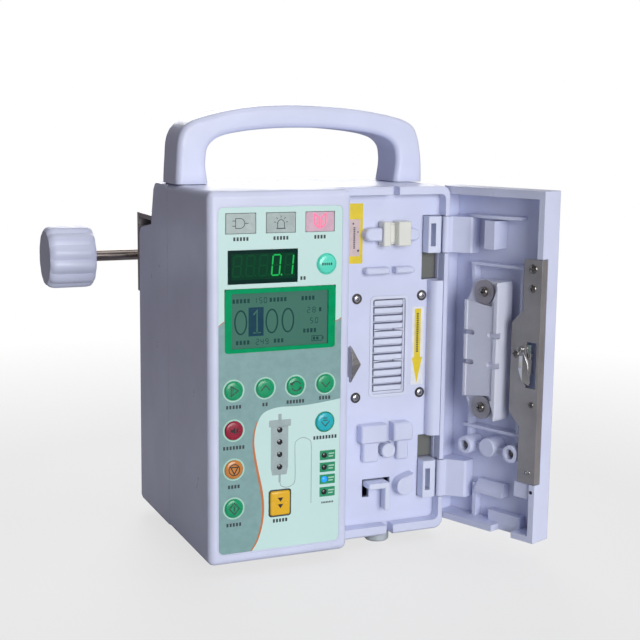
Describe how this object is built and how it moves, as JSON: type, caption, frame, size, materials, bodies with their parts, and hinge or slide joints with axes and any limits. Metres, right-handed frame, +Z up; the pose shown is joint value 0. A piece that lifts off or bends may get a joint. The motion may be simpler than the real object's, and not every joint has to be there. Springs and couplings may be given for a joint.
{
  "type": "infusion pump",
  "caption": "Bedside volumetric infusion pump: display and key panel, open door over a finger-driven tubing bay, arched carrying handle, rear pole clamp with screw knob.",
  "frame": {"origin": "centre of the object's bounding box in plan, on the plane its rubber feet stand on", "axes": "+Z up, front panel and tubing bay face -Y, the door's hinge is on the +X side, the pole clamp is at +Y"},
  "size_m": [0.2166, 0.195, 0.2253],
  "materials": {
    "shell": "satin",
    "panel_overlay": "satin",
    "display": "gloss",
    "white_plastic": "satin",
    "circuit_board": "satin",
    "key_mint": "satin",
    "key_green": "satin",
    "key_magenta": "satin",
    "key_orange": "satin",
    "key_cyan": "satin",
    "key_yellow": "satin",
    "steel": "satin",
    "screw_steel": "satin",
    "black_plastic": "matte",
    "rubber": "matte",
    "platen_plastic": "satin"
  },
  "bodies": {
    "pump": {"front_housing": "shell", "rear_housing": "shell", "carry_handle": "shell", "hinge_cover_upper": "shell", "hinge_cover_lower": "shell", "finger_guide": "shell", "lcd_module": "display", "led_digit_module": "display", "status_lamp_bar": "white_plastic", "air_bubble_sensor": "white_plastic", "main_board": "circuit_board", "power_supply": "steel", "latch_striker": "steel", "hinge_pin_upper": "steel", "hinge_pin_lower": "steel", "clamp_bracket": "steel", "battery_pack": "black_plastic", "power_inlet": "black_plastic", "pump_motor": "black_plastic", "foot_front_left": "rubber", "foot_front_right": "rubber", "foot_rear_left": "rubber", "foot_rear_right": "rubber", "key_panel": "panel_overlay"},
    "door": {"door_shell": "shell", "platen_screw_upper": "screw_steel", "platen_screw_lower": "screw_steel", "latch_plate": "steel"},
    "platen": {"pressure_platen": "platen_plastic"},
    "latch_bolt": {"latch_bolt": "steel"},
    "release_lever": {"door_release_lever": "shell"},
    "key_clear": {"key_clear": "key_mint"},
    "key_shift": {"key_shift": "key_green"},
    "key_up": {"key_up": "key_green"},
    "key_select": {"key_select": "key_green"},
    "key_down": {"key_down": "key_green"},
    "key_silence": {"key_silence": "key_magenta"},
    "key_stop": {"key_stop": "key_orange"},
    "key_start": {"key_start": "key_green"},
    "key_page": {"key_page": "key_cyan"},
    "key_purge": {"key_purge": "key_yellow"},
    "finger_01": {"pump_finger_01": "white_plastic"},
    "finger_02": {"pump_finger_02": "white_plastic"},
    "finger_03": {"pump_finger_03": "white_plastic"},
    "finger_04": {"pump_finger_04": "white_plastic"},
    "finger_05": {"pump_finger_05": "white_plastic"},
    "finger_06": {"pump_finger_06": "white_plastic"},
    "finger_07": {"pump_finger_07": "white_plastic"},
    "finger_08": {"pump_finger_08": "white_plastic"},
    "finger_09": {"pump_finger_09": "white_plastic"},
    "finger_10": {"pump_finger_10": "white_plastic"},
    "finger_11": {"pump_finger_11": "white_plastic"},
    "finger_12": {"pump_finger_12": "white_plastic"},
    "camshaft": {"camshaft": "steel"},
    "plunger": {"pressure_plunger": "shell"},
    "flow_hook": {"flow_clamp_hook": "shell"},
    "clamp_pad": {"clamp_pad": "rubber"},
    "clamp_screw": {"clamp_screw": "steel", "clamp_knob": "shell"}
  },
  "joints": [
    {"name": "door_hinge", "type": "hinge", "parent": "pump", "child": "door", "pos_m": [0.07179, -0.04329, 0.0955], "axis": [0, 0, 1], "range_deg": [-111.5, 0]},
    {"name": "platen_slide", "type": "slide", "parent": "door", "child": "platen", "axis": [0.9304, 0.3665, 0], "range_m": [0, 0.003], "stiffness_N_per_m": 1500, "springref_m": -0.0005},
    {"name": "bolt_slide", "type": "slide", "parent": "door", "child": "latch_bolt", "axis": [-0.3665, 0.9304, 0], "range_m": [0, 0.0045], "stiffness_N_per_m": 250, "springref_m": -0.001},
    {"name": "release_lever_hinge", "type": "hinge", "parent": "door", "child": "release_lever", "pos_m": [0.10261, -0.0779, 0.1015], "axis": [0, 0, 1], "range_deg": [0, 25.2]},
    {"name": "key_clear_press", "type": "slide", "parent": "pump", "child": "key_clear", "axis": [0, 1, 0], "range_m": [0, 0.0006], "stiffness_N_per_m": 600},
    {"name": "key_shift_press", "type": "slide", "parent": "pump", "child": "key_shift", "axis": [0, 1, 0], "range_m": [0, 0.0006], "stiffness_N_per_m": 600},
    {"name": "key_up_press", "type": "slide", "parent": "pump", "child": "key_up", "axis": [0, 1, 0], "range_m": [0, 0.0006], "stiffness_N_per_m": 600},
    {"name": "key_select_press", "type": "slide", "parent": "pump", "child": "key_select", "axis": [0, 1, 0], "range_m": [0, 0.0006], "stiffness_N_per_m": 600},
    {"name": "key_down_press", "type": "slide", "parent": "pump", "child": "key_down", "axis": [0, 1, 0], "range_m": [0, 0.0006], "stiffness_N_per_m": 600},
    {"name": "key_silence_press", "type": "slide", "parent": "pump", "child": "key_silence", "axis": [0, 1, 0], "range_m": [0, 0.0006], "stiffness_N_per_m": 600},
    {"name": "key_stop_press", "type": "slide", "parent": "pump", "child": "key_stop", "axis": [0, 1, 0], "range_m": [0, 0.0006], "stiffness_N_per_m": 600},
    {"name": "key_start_press", "type": "slide", "parent": "pump", "child": "key_start", "axis": [0, 1, 0], "range_m": [0, 0.0006], "stiffness_N_per_m": 600},
    {"name": "key_page_press", "type": "slide", "parent": "pump", "child": "key_page", "axis": [0, 1, 0], "range_m": [0, 0.0006], "stiffness_N_per_m": 600},
    {"name": "key_purge_press", "type": "slide", "parent": "pump", "child": "key_purge", "axis": [0, 1, 0], "range_m": [0, 0.0006], "stiffness_N_per_m": 600},
    {"name": "finger_01_stroke", "type": "slide", "parent": "pump", "child": "finger_01", "axis": [0, -1, 0], "range_m": [0, 0.0012], "stiffness_N_per_m": 300},
    {"name": "finger_02_stroke", "type": "slide", "parent": "pump", "child": "finger_02", "axis": [0, -1, 0], "range_m": [0, 0.0012], "stiffness_N_per_m": 300},
    {"name": "finger_03_stroke", "type": "slide", "parent": "pump", "child": "finger_03", "axis": [0, -1, 0], "range_m": [0, 0.0012], "stiffness_N_per_m": 300},
    {"name": "finger_04_stroke", "type": "slide", "parent": "pump", "child": "finger_04", "axis": [0, -1, 0], "range_m": [0, 0.0012], "stiffness_N_per_m": 300},
    {"name": "finger_05_stroke", "type": "slide", "parent": "pump", "child": "finger_05", "axis": [0, -1, 0], "range_m": [0, 0.0012], "stiffness_N_per_m": 300},
    {"name": "finger_06_stroke", "type": "slide", "parent": "pump", "child": "finger_06", "axis": [0, -1, 0], "range_m": [0, 0.0012], "stiffness_N_per_m": 300},
    {"name": "finger_07_stroke", "type": "slide", "parent": "pump", "child": "finger_07", "axis": [0, -1, 0], "range_m": [0, 0.0012], "stiffness_N_per_m": 300},
    {"name": "finger_08_stroke", "type": "slide", "parent": "pump", "child": "finger_08", "axis": [0, -1, 0], "range_m": [0, 0.0012], "stiffness_N_per_m": 300},
    {"name": "finger_09_stroke", "type": "slide", "parent": "pump", "child": "finger_09", "axis": [0, -1, 0], "range_m": [0, 0.0012], "stiffness_N_per_m": 300},
    {"name": "finger_10_stroke", "type": "slide", "parent": "pump", "child": "finger_10", "axis": [0, -1, 0], "range_m": [0, 0.0012], "stiffness_N_per_m": 300},
    {"name": "finger_11_stroke", "type": "slide", "parent": "pump", "child": "finger_11", "axis": [0, -1, 0], "range_m": [0, 0.0012], "stiffness_N_per_m": 300},
    {"name": "finger_12_stroke", "type": "slide", "parent": "pump", "child": "finger_12", "axis": [0, -1, 0], "range_m": [0, 0.0012], "stiffness_N_per_m": 300},
    {"name": "camshaft_spin", "type": "hinge", "parent": "pump", "child": "camshaft", "pos_m": [0.04229, -0.01409, 0.1055], "axis": [0, 0, 1], "continuous": true},
    {"name": "plunger_slide", "type": "slide", "parent": "pump", "child": "plunger", "axis": [0, 1, 0], "range_m": [0, 0.001], "stiffness_N_per_m": 800},
    {"name": "flow_hook_slide", "type": "slide", "parent": "pump", "child": "flow_hook", "axis": [1, 0, 0], "range_m": [0, 0.0022], "stiffness_N_per_m": 300, "springref_m": -0.0005},
    {"name": "clamp_pad_slide", "type": "slide", "parent": "pump", "child": "clamp_pad", "axis": [1, 0, 0], "range_m": [0, 0.02]},
    {"name": "clamp_screw_turn", "type": "hinge", "parent": "clamp_pad", "child": "clamp_screw", "pos_m": [-0.06071, 0.08091, 0.1419], "axis": [1, 0, 0], "range_deg": [0, 2401]}
  ],
  "couplings": [
    {"joint": "clamp_screw_turn", "follows": "clamp_pad_slide", "rad_per_m": 2094.4},
    {"joint": "release_lever_hinge", "follows": "bolt_slide", "rad_per_m": 97}
  ]
}
